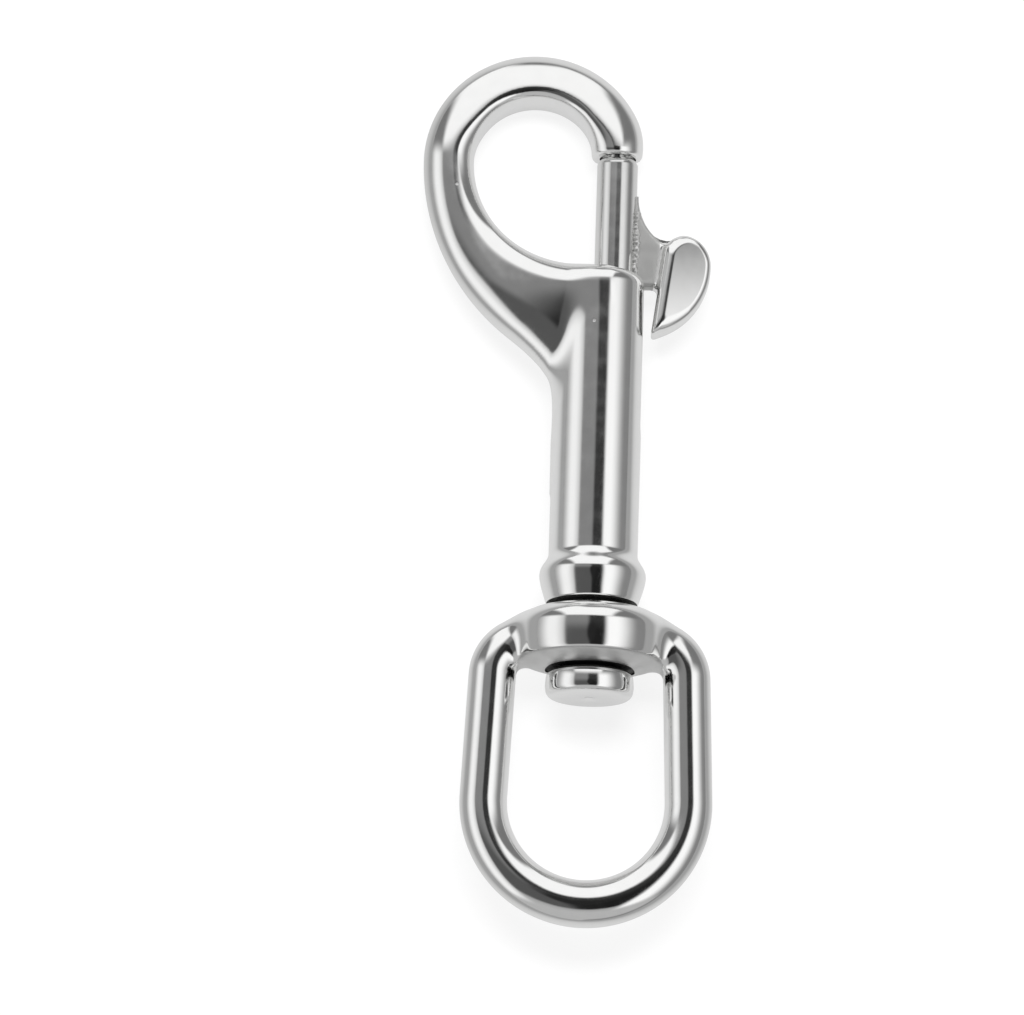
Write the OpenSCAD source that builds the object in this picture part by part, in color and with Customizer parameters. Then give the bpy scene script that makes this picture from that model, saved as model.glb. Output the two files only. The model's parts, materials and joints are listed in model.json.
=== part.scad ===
// Swivel snap hook: a bolt snap with a sprung bolt, a thumb lever and a swivelling eye.
//
// Every piece is drawn about the swivel axis. +Y runs from the outer end of the eye to the top of
// the hook, +Z is the front face and +X is the thumb lever's side. lie_down() then tips the whole
// snap on to its back, until the boss of the eye and the back of the bow both touch the ground.

/* [Eye] */
// Inside width of the eye, at its widest
eye_w = 15.5; // [13:0.1:20]
// Diameter of the eye's bar
eye_bar_d = 4.7; // [3.6:0.1:5.6]
// Length of the eye's opening, from its round end to the boss
eye_l = 21.1; // [18:0.1:30]
// Angle at which the eye's legs draw in towards the boss
leg_lean = 2.2; // [0:0.2:4]
// Centre-line radius of the bend between a leg and the boss
eye_bend_r = 3.2; // [2.6:0.1:4]
// Outer diameter of the boss that turns on the swivel pin
boss_d = 15; // [12.6:0.2:17]
// Height of the boss along the swivel axis
boss_h = 5.9; // [4.8:0.1:8]
// Radius of the boss's rounded shoulders
boss_round = 1.4; // [0.6:0.1:2.2]

/* [Swivel] */
// Diameter of the swivel pin's shank
pin_d = 5; // [4:0.1:6]
// Diameter of the swivel pin's head
pin_head_d = 8.7; // [7.6:0.1:10]
// Height of the swivel pin's head
pin_head_h = 2.5; // [2:0.1:4]
// Radius of the rounded edge of the pin's head
pin_head_round = 0.6; // [0.3:0.1:1]
// Depth to which the pin is pressed into the barrel's foot
pin_press_l = 4.6; // [3:0.1:6]
// Radial running clearance of the eye on the pin
swivel_fit = 0.08; // [0.04:0.01:0.1]
// End play of the eye above and below its boss
swivel_play = 0.35; // [0.2:0.05:0.6]

/* [Barrel] */
// Outer diameter of the barrel
barrel_d = 8.9; // [8:0.1:11]
// Thickness of the barrel's floor, between the swivel pin's end and the spring
floor_l = 2.6; // [1.5:0.1:10]
// Radius of the barrel's rounded mouth
mouth_round = 1.6; // [0.6:0.1:2]
// Outer diameter of the collar at the barrel's foot
collar_d = 10.7; // [9.6:0.1:13]
// Height of the collar
collar_h = 5.4; // [4:0.1:8]
// Radius of the collar's domed upper shoulder
collar_dome = 2.4; // [1:0.1:3]
// Radius of the collar's lower edge
collar_round = 0.7; // [0.2:0.1:1]

/* [Hook] */
// Inside radius of the hook's loop
loop_r = 6.1; // [5:0.1:8]
// Distance of the loop's centre from the swivel axis
loop_x = 7; // [6:0.1:8]
// Height of the loop's centre above the barrel's mouth
loop_rise = 11.9; // [9:0.1:15]
// Height of the loop's throat above the barrel's mouth
throat_rise = 1.2; // [0.5:0.1:2]
// Thickness of the bow, measured across its bend
bow_w = 5.2; // [4.4:0.1:6.5]
// Depth of the bow, from front to back
bow_t = 5.4; // [4.8:0.1:6.5]
// Distance of the bow's thickest line from its inner edge
bow_crest = 1.5; // [1:0.1:2]
// Radius of the arm's outer back, from the bow down to the barrel
back_r = 23; // [20:0.5:28]
// Radius of the hollow where the back runs into the barrel
root_fillet = 5; // [3:0.5:8]
// Height of the nose's end above the loop's centre
nose_rise = 0.7; // [0.3:0.1:1.5]
// Distance of the nose's middle from the swivel axis
nose_x = 1.1; // [0.6:0.1:1.6]
// Depth of the socket in the nose that the bolt's tip enters
socket_l = 1.2; // [1:0.1:3]
// Radial clearance of the bolt's taper in the socket's mouth
socket_fit = 0.15; // [0.08:0.01:0.3]

/* [Bolt] */
// Diameter of the bolt
bolt_d = 4.1; // [3.4:0.1:4.3]
// Distance of the bolt's line from the swivel axis
bolt_x = 1.3; // [0.6:0.05:1.4]
// Radial clearance of the bolt in its bore
bolt_fit = 0.1; // [0.06:0.01:0.2]
// Length by which the closed bolt stands in the nose's socket
bolt_engage = 0.4; // [0.3:0.1:0.9]
// Diameter of the bolt's tapered tip
bolt_tip_d = 2.9; // [2.4:0.1:3.4]
// Length of the bolt's tapered tip
bolt_tip_l = 1; // [0.5:0.1:1.5]
// Length of the closed bolt that stays inside the barrel
bolt_guide = 7.4; // [6:0.1:12]
// Travel of the bolt from closed to open
bolt_travel = 14.4; // [12:0.2:18]
// Chamfer at the bolt's foot
bolt_chamfer = 0.3; // [0.1:0.05:0.5]

/* [Thumb lever] */
// Thickness of the lever's web
web_t = 1.7; // [1.2:0.1:2.2]
// Clearance each side of the web in the barrel's slot
slot_fit = 0.25; // [0.15:0.05:0.4]
// Depth to which the closed web stands in the slot
web_engage = 0.9; // [0.5:0.1:2]
// Height of the web where it is welded to the bolt
web_h = 9.5; // [8:0.1:12]
// Radius of the web's hollow upper edge
web_hollow_r = 6; // [4:0.1:7]
// Thickness of the thumb pad, from front to back
pad_t = 4.4; // [3.6:0.1:7]
// Height of the thumb pad
pad_h = 10.8; // [9:0.2:13]
// Distance from the barrel's side to the near edge of the thumb pad
pad_gap = 0.6; // [0.4:0.1:1.5]
// Reach of the thumb pad from its near edge to its outer edge
pad_w = 5.9; // [5:0.1:8]
// Radius of the thumb pad's round top
pad_top_r = 3.2; // [2.4:0.1:3.6]
// Height of the pad's top above the floor of the web's hollow
pad_rise = 2; // [0:0.1:3]
// Angle at which the pad's near edge leans away from the barrel
pad_lean = 7; // [2:1:10]
// Bevel around the pad's two faces
pad_bevel = 0.8; // [0.3:0.1:1.2]

/* [Spring] */
// Diameter of the spring's wire
wire_d = 0.5; // [0.3:0.05:0.7]
// Radial clearance of the spring in the bore
spring_fit = 0.2; // [0.1:0.05:0.3]
// Number of turns
spring_turns = 8; // [6:1:9]
// Length to which the spring could still close when the bolt is open
spring_spare = 1.2; // [0.5:0.1:3]

/* [Hidden] */
$fn = 64;

// Clearance between parts that are welded or seated face to face
seat = 0.01;
// Overshoot of a cutting tool beyond the face that it cuts
over = 2;

// Heights along the swivel axis, from the outer end of the eye
eye_r = (eye_w + eye_bar_d) / 2;
eye_y = eye_r + eye_bar_d / 2;
boss_y = eye_bar_d + eye_l;
arm_y = boss_y + boss_h / 2;
collar_y = boss_y + boss_h + swivel_play;
spring_l = bolt_travel + spring_turns * wire_d + spring_spare;
bore_y = collar_y + pin_press_l + floor_l;
foot_y = bore_y + spring_l;
mouth_y = foot_y + bolt_guide;
loop_y = mouth_y + loop_rise;
nose_y = loop_y + nose_rise;
tip_y = nose_y + bolt_engage;
web_y = mouth_y - web_engage;
slot_w = web_t + 2 * slot_fit;
slot_y = web_y - bolt_travel - slot_w / 2;

// Radii and places across the axis
barrel_l = mouth_y - collar_y;
barrel_r = barrel_d / 2;
bore_r = bolt_d / 2 + bolt_fit;
socket_r = bolt_tip_d / 2 + (bolt_d - bolt_tip_d) / 2 * bolt_engage / bolt_tip_l + socket_fit;
bow_r = loop_r + bow_w;
throat_r = loop_rise - throat_rise;
throat_x = -loop_x - loop_r + throat_r;
back_x = -loop_x - bow_r + back_r;
fillet_x = -barrel_r - root_fillet;
fillet_y = loop_y - sqrt(pow(back_r + root_fillet, 2) - pow(back_x - fillet_x, 2));
back_end = 180 + atan2(loop_y - fillet_y, back_x - fillet_x);

// The snap tips until the boss and the bow's thickest line both meet the ground
crest_y = loop_y + loop_r + bow_crest;
rest_tilt = min(
    atan((boss_d / 2 - bow_t / 2) / (crest_y - (boss_y + boss_h - boss_round))),
    atan((boss_d / 2 - barrel_r) / (mouth_y - mouth_round - (boss_y + boss_h - boss_round))));
rest_z = (boss_y + boss_h - boss_round) * sin(rest_tilt)
    + (boss_d / 2 - boss_round) * cos(rest_tilt) + boss_round;
mid_x = (eye_w / 2 + eye_bar_d - loop_x - bow_r) / 2;
mid_y = (loop_y + bow_r) * cos(rest_tilt) / 2;

// Points round one section of the bow: a round inner edge, a level crest and a round outer edge
QUARTER = 5;
function on_line(inner, outer, s, z) =
    let (d = (outer - inner) / norm(outer - inner)) [inner.x + d.x * s, inner.y + d.y * s, z];
function section(inner, outer, half_t, inner_round, outer_round) =
    let (l = norm(outer - inner))
    [
        for (q = [0:3], k = [0:QUARTER])
            let (
                a = 90 * (q + k / QUARTER),
                outside = q == 0 || q == 3,
                s = outside ? l - outer_round * (1 - cos(a)) : inner_round * (1 + cos(a))
            )
            if (!(k == QUARTER && (q == 1 || q == 3))) on_line(inner, outer, s, half_t * sin(a))
    ];
function at_angle(centre, r, a) = [centre.x + r * cos(a), centre.y + r * sin(a)];

// Points round one section of the eye's bar, whose outer side faces along angle a
function bar_ring(p, a) = [
    for (k = [0:15])
        let (c = eye_bar_d / 2 * cos(22.5 * k), s = eye_bar_d / 2 * sin(22.5 * k))
        [p.x + c * cos(a), p.y + c * sin(a), s]
];

// Closed tube through rings of equally many points, with flat ends
module loft(rings) {
    n = len(rings[0]);
    last = len(rings) - 1;
    points = [for (ring = rings, p = ring) p];
    walls = [
        for (i = [0:last - 1], k = [0:n - 1])
            let (a = i * n + k, b = i * n + (k + 1) % n)
            each [[a, b, b + n], [a, b + n, a + n]]
    ];
    first_cap = [for (k = [n - 1:-1:0]) k];
    last_cap = [for (k = [0:n - 1]) last * n + k];
    polyhedron(points, concat([first_cap, last_cap], walls));
}

// Square that turns about the swivel axis, with rounded outer corners
module rounded_profile(r, l, foot_round, top_round) {
    square([r - max(foot_round, top_round), l]);
    translate([0, foot_round]) square([r, l - foot_round - top_round]);
    square([r - foot_round, l / 2]);
    translate([0, l / 2]) square([r - top_round, l / 2]);
    translate([r - foot_round, foot_round]) circle(foot_round);
    translate([r - top_round, l - top_round]) circle(top_round);
}

// Turned shape on the swivel axis that starts at height y
module turned(y) {
    translate([0, y, 0]) rotate([-90, 0, 0]) rotate_extrude() children();
}

// Round rod or bore along the axis, at x, from height y
module rod(x, y, r, l) {
    translate([x, y, 0]) rotate([-90, 0, 0]) cylinder(r = r, h = l);
}

module lie_down() {
    translate([-mid_x, -mid_y, rest_z]) rotate([-rest_tilt, 0, 0]) children();
}

// Nose, bow and arm: the arm deepens until it reaches from the mouth to the root fillet
module bow() {
    centre = [-loop_x, loop_y];
    half_t = bow_t / 2;
    nose_half = bow_w / 2;
    // Width of the level stretch on the nose and on the bow's crest
    level = 0.3;
    // Angles round the loop between which the bow keeps its full section, and their step
    ring_from = 28;
    ring_step = 9.5;
    // Sections of the arm, and the share of them whose outer end follows the back's arc
    arm_steps = 16;
    on_back = 0.75;
    // Depth to which the throat is sunk in the barrel's mouth
    sunk = 0.1;
    nose = section([nose_x - nose_half, nose_y], [nose_x + nose_half, nose_y],
                   half_t, nose_half - level, nose_half - level);
    ring = [
        for (a = [ring_from:ring_step:180])
            section(at_angle(centre, loop_r, a), at_angle(centre, bow_r, a),
                    half_t, bow_crest, bow_w - bow_crest - level)
    ];
    arm = [
        for (i = [1:arm_steps])
            let (
                u = i / arm_steps,
                past = max(0, (u - on_back) / (1 - on_back)),
                inner = at_angle([throat_x, loop_y], throat_r - sunk / 2 * u, 180 + 90 * u),
                outer = past == 0
                    ? at_angle([back_x, loop_y], back_r, 180 + (back_end - 180) * u / on_back)
                    : at_angle([fillet_x, fillet_y], root_fillet, (back_end - 180) * (1 - past)),
                round_in = bow_crest * (1 - u) + half_t * u,
                round_out = (bow_w - bow_crest - level) * (1 - u) + half_t * u
            )
            section(inner, outer, half_t, round_in, round_out)
    ];
    root = section([-bolt_x, loop_y - throat_r - sunk], [-barrel_r / 2, fillet_y],
                   half_t, half_t, half_t);
    loft(concat([nose], ring, arm, [root]));
}

// One casting: nose, bow and arm, the bored barrel with its slot, and the collar at its foot
module hook_body() {
    color("silver")
    difference() {
        union() {
            bow();
            turned(collar_y) rounded_profile(barrel_r, barrel_l, collar_round, mouth_round);
            turned(collar_y) rounded_profile(collar_d / 2, collar_h, collar_round, collar_dome);
        }
        rod(bolt_x, bore_y, bore_r, mouth_y - bore_y + over);
        rod(bolt_x, nose_y - over, socket_r, socket_l + over);
        rod(0, collar_y - over, pin_d / 2, pin_press_l + over);
        translate([bolt_x, slot_y + slot_w / 2, -slot_w / 2])
            cube([barrel_r + over, mouth_y - slot_y + over, slot_w]);
        translate([bolt_x, slot_y + slot_w / 2, 0])
            rotate([0, 90, 0]) cylinder(d = slot_w, h = barrel_r + over);
    }
}

// Turned rod that closes the hook, with a chamfered foot and a tapered tip
module bolt() {
    r = bolt_d / 2;
    l = tip_y - foot_y;
    color("gainsboro")
    translate([bolt_x, foot_y, 0]) rotate([-90, 0, 0]) {
        cylinder(r1 = r - bolt_chamfer, r2 = r, h = bolt_chamfer);
        translate([0, 0, bolt_chamfer]) cylinder(r = r, h = l - bolt_chamfer - bolt_tip_l);
        translate([0, 0, l - bolt_tip_l]) cylinder(r1 = r, r2 = bolt_tip_d / 2, h = bolt_tip_l);
    }
}

// Outline of the thumb pad: a straight near edge, a full round top and a long sweeping outer edge
module pad_outline(inset) {
    near_x = barrel_r + pad_gap;
    far_x = near_x + pad_w;
    top_y = web_y + web_h - web_hollow_r + pad_rise;
    sweep_r = pad_h - pad_top_r;
    intersection() {
        translate([near_x + inset, top_y - pad_h, 0]) rotate(-pad_lean) square(2 * pad_h);
        union() {
            translate([far_x - pad_top_r, top_y - pad_top_r]) circle(pad_top_r - inset);
            translate([near_x, top_y - pad_top_r]) square([pad_w - pad_top_r, pad_top_r - inset]);
            intersection() {
                translate([far_x - sweep_r, top_y - pad_top_r]) circle(sweep_r - inset);
                translate([near_x, top_y - pad_h]) square([pad_w, sweep_r + seat]);
            }
        }
    }
}

// Cast lever: a thin web with a hollow upper edge, welded along the bolt, and the thumb pad
module thumb_lever() {
    web_top = web_y + web_h;
    // Breadth of the web's horn along the bolt, and depth of the web inside the pad
    horn = 0.3;
    in_pad = 1.6;
    hollow_x = bolt_x + bolt_d / 2 + horn + web_hollow_r;
    color("silver")
    difference() {
        union() {
            translate([0, 0, -web_t / 2]) linear_extrude(web_t)
                difference() {
                    translate([bolt_x, web_y])
                        square([barrel_r + pad_gap + in_pad - bolt_x, web_h]);
                    translate([hollow_x, web_top]) circle(web_hollow_r);
                }
            hull() {
                translate([0, 0, pad_bevel - pad_t / 2])
                    linear_extrude(pad_t - 2 * pad_bevel) pad_outline(0, $fn = 48);
                translate([0, 0, -pad_t / 2]) linear_extrude(pad_t) pad_outline(pad_bevel, $fn = 48);
            }
        }
        rod(bolt_x, web_y - over, bolt_d / 2 + seat, web_h + 2 * over);
    }
}

// Compression spring in the bore, between the bore's floor and the bolt's foot
module spring() {
    wire_r = wire_d / 2 - seat;
    coil_r = bore_r - spring_fit - wire_r;
    steps = 16;
    sides = 8;
    count = spring_turns * steps;
    rise = spring_l - wire_d - 2 * seat;
    slope = atan(rise / (spring_turns * 2 * PI * coil_r));
    color("darkgray")
    loft([
        for (i = [0:count])
            let (a = 360 * i / steps, h = bore_y + seat + wire_r + rise * i / count)
            [
                for (k = [0:sides - 1])
                    let (
                        c = wire_r * cos(360 * k / sides),
                        s = wire_r * sin(360 * k / sides),
                        r = coil_r + c
                    )
                    [bolt_x + r * cos(a) - s * sin(slope) * sin(a),
                     h + s * cos(slope),
                     -r * sin(a) - s * sin(slope) * cos(a)]
            ]
    ]);
}

// Headed pin that carries the eye, pressed into the barrel's foot
module swivel_pin() {
    head_y = boss_y - swivel_play - pin_head_h;
    shank_y = head_y + pin_head_h / 2;
    // Rounding of the head's edge towards the boss
    under_round = 0.4;
    color("gainsboro")
    union() {
        turned(head_y) rounded_profile(pin_head_d / 2, pin_head_h, pin_head_round, under_round);
        rod(0, shank_y, pin_d / 2, collar_y + pin_press_l - seat - shank_y);
    }
}

// One casting: the round boss that turns on the pin, and the bow of round bar below it
module swivel_eye() {
    leg_foot = at_angle([0, eye_y], eye_r, leg_lean);
    bend_y = arm_y - eye_bend_r;
    leg_l = (bend_y + eye_bend_r * sin(leg_lean) - leg_foot.y) / cos(leg_lean);
    bend_x = leg_foot.x - leg_l * sin(leg_lean) - eye_bend_r * cos(leg_lean);
    turn = 180 + 2 * leg_lean;
    bend = 90 - leg_lean;
    // Sections of each bend and of the round end, and depth of the bar inside the boss
    bend_steps = 6;
    turn_steps = 26;
    in_boss = 1.5;
    left_bend = [
        for (i = [0:bend_steps]) let (a = 90 + bend * i / bend_steps)
            bar_ring(at_angle([-bend_x, bend_y], eye_bend_r, a), a)
    ];
    round_end = [
        for (i = [0:turn_steps]) let (a = 180 - leg_lean + turn * i / turn_steps)
            bar_ring(at_angle([0, eye_y], eye_r, a), a)
    ];
    right_bend = [
        for (i = [0:bend_steps]) let (a = leg_lean + bend * i / bend_steps)
            bar_ring(at_angle([bend_x, bend_y], eye_bend_r, a), a)
    ];
    left_root = bar_ring([in_boss - bend_x, arm_y], 90);
    right_root = bar_ring([bend_x - in_boss, arm_y], 90);
    color("silver")
    difference() {
        union() {
            loft(concat([left_root], left_bend, round_end, right_bend, [right_root]));
            turned(boss_y) rounded_profile(boss_d / 2, boss_h, boss_round, boss_round);
        }
        rod(0, boss_y - over, pin_d / 2 + swivel_fit, boss_h + 2 * over);
    }
}

lie_down() hook_body();
lie_down() bolt();
lie_down() thumb_lever();
lie_down() spring();
lie_down() swivel_pin();
lie_down() swivel_eye();
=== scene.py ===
# Swivel snap hook in polished stainless steel: a cast hook body and a cast swivel eye, a sprung
# bolt with its welded thumb lever, and the pin that joins the two castings. Lengths are in
# millimetres about the swivel axis until each piece is put in its place.
import json
import math

import bmesh
import bpy
import numpy as np
from mathutils import Matrix, Vector, noise


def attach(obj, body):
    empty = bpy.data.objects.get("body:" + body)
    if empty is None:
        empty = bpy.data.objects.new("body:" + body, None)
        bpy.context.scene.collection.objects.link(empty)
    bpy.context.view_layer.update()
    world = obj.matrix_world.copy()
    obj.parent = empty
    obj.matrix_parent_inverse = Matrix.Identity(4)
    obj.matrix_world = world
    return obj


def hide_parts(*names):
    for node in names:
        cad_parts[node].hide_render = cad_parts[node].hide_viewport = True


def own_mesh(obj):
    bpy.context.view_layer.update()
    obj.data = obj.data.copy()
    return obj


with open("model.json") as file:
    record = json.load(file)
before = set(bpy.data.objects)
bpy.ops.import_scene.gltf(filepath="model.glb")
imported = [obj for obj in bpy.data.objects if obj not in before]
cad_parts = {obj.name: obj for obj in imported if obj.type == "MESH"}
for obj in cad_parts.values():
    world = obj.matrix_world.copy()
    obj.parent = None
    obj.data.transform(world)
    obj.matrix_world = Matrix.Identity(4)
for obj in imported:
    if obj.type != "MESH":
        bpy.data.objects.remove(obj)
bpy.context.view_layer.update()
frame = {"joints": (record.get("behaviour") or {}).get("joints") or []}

# ---------------------------------------------------------------------------------------------
# Hook body: one investment casting with the hook's bow and nose, the webbed arm, the barrel and
# its collar. It is cast, ground at the arm, bored and slotted, and then polished all over.
# ---------------------------------------------------------------------------------------------

# Heights along the swivel axis, from the outer end of the eye
arm_y = 28.75
collar_y = 32.05
bore_y = 39.25
bow_foot_y = 44.0
slot_y = 49.85
root_y = 57.0
mouth_y = 66.25
tongue_y = mouth_y + 0.45
throat_y = 67.45
loop_y = 78.15
nose_y = 78.85

# Barrel, its collar, and what is bored and cut in it
pin_r = 2.5
pin_bore_l = 4.6
barrel_r = 4.45
mouth_round = 1.5
tongue_x = 2.4
tongue_w = 2.15
tongue_h = 1.8
collar_r = 5.35
collar_h = 5.4
collar_dome = 2.4
collar_edge = 0.25
collar_crown = 0.1
shoulder_r = 3.3
shoulder_h = 0.42
gap_shade_line = collar_y + shoulder_h + 0.04
bolt_x = 1.3
bore_r = 2.15
socket_r = 1.84
socket_l = 1.2
slot_w = 2.2

# Bow: its round inside, its width and half its depth, and how its crest moves round it
loop_x = -7.0
loop_r = 6.1
bow_w = 5.2
bow_half = 2.7
crest_left = 2.1
crest_right = 2.5
crest_drift_left = 1.0
crest_drift_right = 1.4
nose_x = 1.1
nose_lean = 0.55
nose_lean_y = 83.5
nose_lean_l = 4.6

# Arm: its throat and back, its rim along the throat, and its web
throat_r = loop_y - throat_y
throat_x = loop_x - loop_r + throat_r
back_r = 23.0
back_x = loop_x - loop_r - bow_w + back_r
back_round = 3.4
root_fillet = 5.0
rim_w = 2.9
rim_end = 0.8
web_z = 3.98
web_bend = 0.013
web_fall = 0.12
swell_l = 8
arm_turn = 60

# Fillets where one shape runs into the next
collar_fillet = 0.6
bow_fillet = 0.8
web_fillet = 1.2
throat_fillet = 0.6
nose_fillet = 0.5
rim_fillet = 0.5
tongue_fillet = 0.3

swivel = next(j for j in frame["joints"] if j["name"] == "eye_swivel")
axis = Vector(swivel["axis"])
front = Vector((1, 0, 0)).cross(axis)
lie_down = Matrix((
    (0.001, 0, 0, 0),
    (0, 0.001 * axis.y, 0.001 * front.y, 0),
    (0, 0.001 * axis.z, 0.001 * front.z, 0),
    (0, 0, 0, 1),
))
lie_down = Matrix.Translation(swivel["pos_m"]) @ lie_down @ Matrix.Translation((0, -arm_y, 0))
upright = Matrix.Rotation(-math.pi / 2, 4, "X")


def round_join(a, b, r):
    """Field of two shapes run together with a fillet of about radius r."""
    near = np.clip(0.5 + 0.5 * (b - a) / r, 0, 1)
    return b * (1 - near) + a * near - r * near * (1 - near)


def turned_field(p, r, y0, y1, foot, top, crown=0.0):
    """Distance outside a cylinder on the swivel axis with rounded ends and a crowned side."""
    edge = np.where(p[:, 1] > (y0 + y1) / 2, top, foot)
    bulge = crown * (2 * p[:, 1] - y0 - y1 + foot - top) / (y1 - y0 - foot - top)
    out = np.hypot(p[:, 0], p[:, 2]) - r + edge + np.minimum(bulge * bulge / max(crown, 1e-9), 1)
    past = np.maximum(y0 + edge - p[:, 1], p[:, 1] - y1 + edge)
    rim = np.hypot(np.maximum(out, 0), np.maximum(past, 0))
    return rim + np.minimum(np.maximum(out, past), 0) - edge


def settle(mesh, field, rounds=6, step=0.02, furthest=0.5):
    """Draws a mesh's points on to the surface where the field is nothing, evening them out."""
    p = np.empty(len(mesh.vertices) * 3)
    mesh.vertices.foreach_get("co", p)
    p = p.reshape(-1, 3)
    ends = np.empty(len(mesh.edges) * 2, int)
    mesh.edges.foreach_get("vertices", ends)
    a, b = ends.reshape(-1, 2).T
    count = np.bincount(np.concatenate((a, b)), minlength=len(p))[:, None]

    def slope(q):
        rise = [field(q + d) - field(q - d) for d in np.eye(3) * step]
        return np.array(rise).T / (2 * step)

    for turn in range(rounds):
        if turn < rounds - 2:
            mean = np.stack([
                np.bincount(a, p[b, k], len(p)) + np.bincount(b, p[a, k], len(p))
                for k in range(3)
            ], 1) / count
            p = p + 0.5 * (mean - p)
        for _ in range(2):
            g = slope(p)
            size = np.maximum((g * g).sum(1), 0.05)
            move = field(p) / size
            p = p - np.clip(move, -furthest, furthest)[:, None] * g
    mesh.vertices.foreach_set("co", p.ravel())
    mesh.update()


def new_piece(name, bm):
    mesh = bpy.data.meshes.new(name)
    bm.to_mesh(mesh)
    bm.free()
    piece = bpy.data.objects.new(name, mesh)
    bpy.context.scene.collection.objects.link(piece)
    return piece


def apply_modifiers(piece):
    graph = bpy.context.evaluated_depsgraph_get()
    mesh = bpy.data.meshes.new_from_object(piece.evaluated_get(graph))
    piece.modifiers.clear()
    old = piece.data
    piece.data = mesh
    bpy.data.meshes.remove(old)


def skin(piece, grain):
    """Turns overlapping rough shapes into one even skin."""
    remesh = piece.modifiers.new("skin", "REMESH")
    remesh.mode = "VOXEL"
    remesh.voxel_size = grain
    apply_modifiers(piece)


def cut(piece, *tools):
    """Cuts tools out of a piece."""
    for tool in tools:
        boolean = piece.modifiers.new("cut", "BOOLEAN")
        boolean.operation = "DIFFERENCE"
        boolean.solver = "EXACT"
        boolean.object = tool
    apply_modifiers(piece)
    for tool in tools:
        bpy.data.meshes.remove(tool.data)


def add_rod(bm, x, y, r, l, sides=96):
    """Adds a round bar along the axis, at x, from height y."""
    bmesh.ops.create_cone(
        bm, cap_ends=True, segments=sides, radius1=r, radius2=r, depth=l,
        matrix=Matrix.Translation((x, y + l / 2, 0)) @ upright)


def rod(name, x, y, r, l):
    bm = bmesh.new()
    add_rod(bm, x, y, r, l)
    return new_piece(name, bm)


def finish_piece(piece, body, node, sharp_deg=35):
    """Lays a finished piece down in its place, shades it and hands it to its body."""
    piece.data.transform(lie_down)
    bm = bmesh.new()
    bm.from_mesh(piece.data)
    for face in bm.faces:
        face.smooth = True
    limit = math.radians(sharp_deg)
    for edge in bm.edges:
        edge.smooth = len(edge.link_faces) == 2 and edge.calc_face_angle() < limit
    bm.to_mesh(piece.data)
    bm.free()
    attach(piece, body)
    if node:
        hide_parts(node)


def smooth_step(way):
    """0 to 1 with level ends, as way goes from 0 to 1."""
    way = np.clip(way, 0, 1)
    return way * way * (3 - 2 * way)


def bow_field(p):
    """The nose and bow, flat inside, with a crest that drifts outwards down the two sides. Below
    the loop's centre, the arm, with a bullnosed rim, a swelling web and a rounded back."""
    x, y, z = p.T
    upper = y >= loop_y
    lean = np.clip((nose_lean_y - y) / nose_lean_l, 0, 1) ** 2
    lean = nose_lean * lean * (x > loop_x) * upper
    ring = np.hypot(x + lean - loop_x, y - loop_y)
    d_in = np.where(upper, ring - loop_r, np.hypot(x - throat_x, y - loop_y) - throat_r)
    d_out = np.where(upper, loop_r + bow_w - ring, back_r - np.hypot(x - back_x, y - loop_y))
    rise = smooth_step(1.45 * (y - loop_y) / np.maximum(ring, 1))
    down = np.degrees(np.arctan2(loop_y - y, throat_x - x))
    down = smooth_step(down / arm_turn) * ~upper
    left = x < loop_x
    crest = np.where(left, crest_left, crest_right)
    crest = crest - np.where(left, crest_drift_left, crest_drift_right) * rise
    r_out = (bow_w - crest) * (1 - down) + back_round * down
    # the arm's rim runs straight on to the mouth, and its back runs on into the barrel's side
    d_in = np.where(upper | (x < throat_x), d_in, throat_y - y)
    sunk = 0.2 + 0.05 * np.maximum(root_y + 2 - y, 0)
    d_out = np.where(upper, d_out, -round_join(-d_out, -x - barrel_r + sunk, root_fillet))
    # the arm's front swells up to the barrel, and sinks back towards the root
    ridge = web_z - web_bend * (np.minimum(x, 0) + 1) ** 2 - web_fall * np.maximum(x, 0)
    ridge = -round_join(-bow_half + 0 * x, -ridge, web_fillet)
    half = bow_half + (ridge - bow_half) * smooth_step((y - root_y) / swell_l) * down
    half = half - 0.02 * np.clip(root_y + 1 - y, 0, 9) ** 2
    crest = crest * (1 - down) + rim_w * down
    u = (1 - 0.2 * rise) * np.clip(1 - d_in / crest, 0, None)
    v = np.clip(1 - d_out / r_out, 0, None)
    # the bow's section is an oval, and the arm's is a little squarer
    square = 2 + 0.3 * down
    bar = u ** square + v ** square + (np.abs(z) / half) ** square + 1e-9
    bar = (bar ** (1 / square) - 1) * half
    bar = np.maximum(-round_join(-bar, d_in, throat_fillet), bow_foot_y - y)
    bar = np.where(upper & ~left, -round_join(-bar, y - nose_y, nose_fillet), bar)
    return np.where(upper, bar, -round_join(-bar, rim_end - x, rim_fillet))


def hook_field(p):
    """The barrel and its collar on their shoulder, run into the arm and bow."""
    foot = collar_y + shoulder_h
    barrel = turned_field(p, barrel_r, foot, tongue_y, collar_edge, mouth_round)
    # the wall in front of the slot ends in a round tongue
    beside = np.maximum(p[:, 0] - tongue_x, 0) / tongue_w
    above = np.maximum(p[:, 1] - tongue_y + tongue_h, 0) / tongue_h
    inside = tongue_h - tongue_h * np.hypot(beside, above)
    barrel = -round_join(-barrel, inside, tongue_fillet)
    collar_top = collar_y + collar_h
    collar = turned_field(p, collar_r, foot, collar_top, collar_edge, collar_dome, collar_crown)
    stem = round_join(barrel, collar, collar_fillet)
    stem = np.minimum(stem, turned_field(p, shoulder_r, collar_y, foot + 1, 0.1, 0.1))
    return round_join(stem, bow_field(p), bow_fillet)


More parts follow.
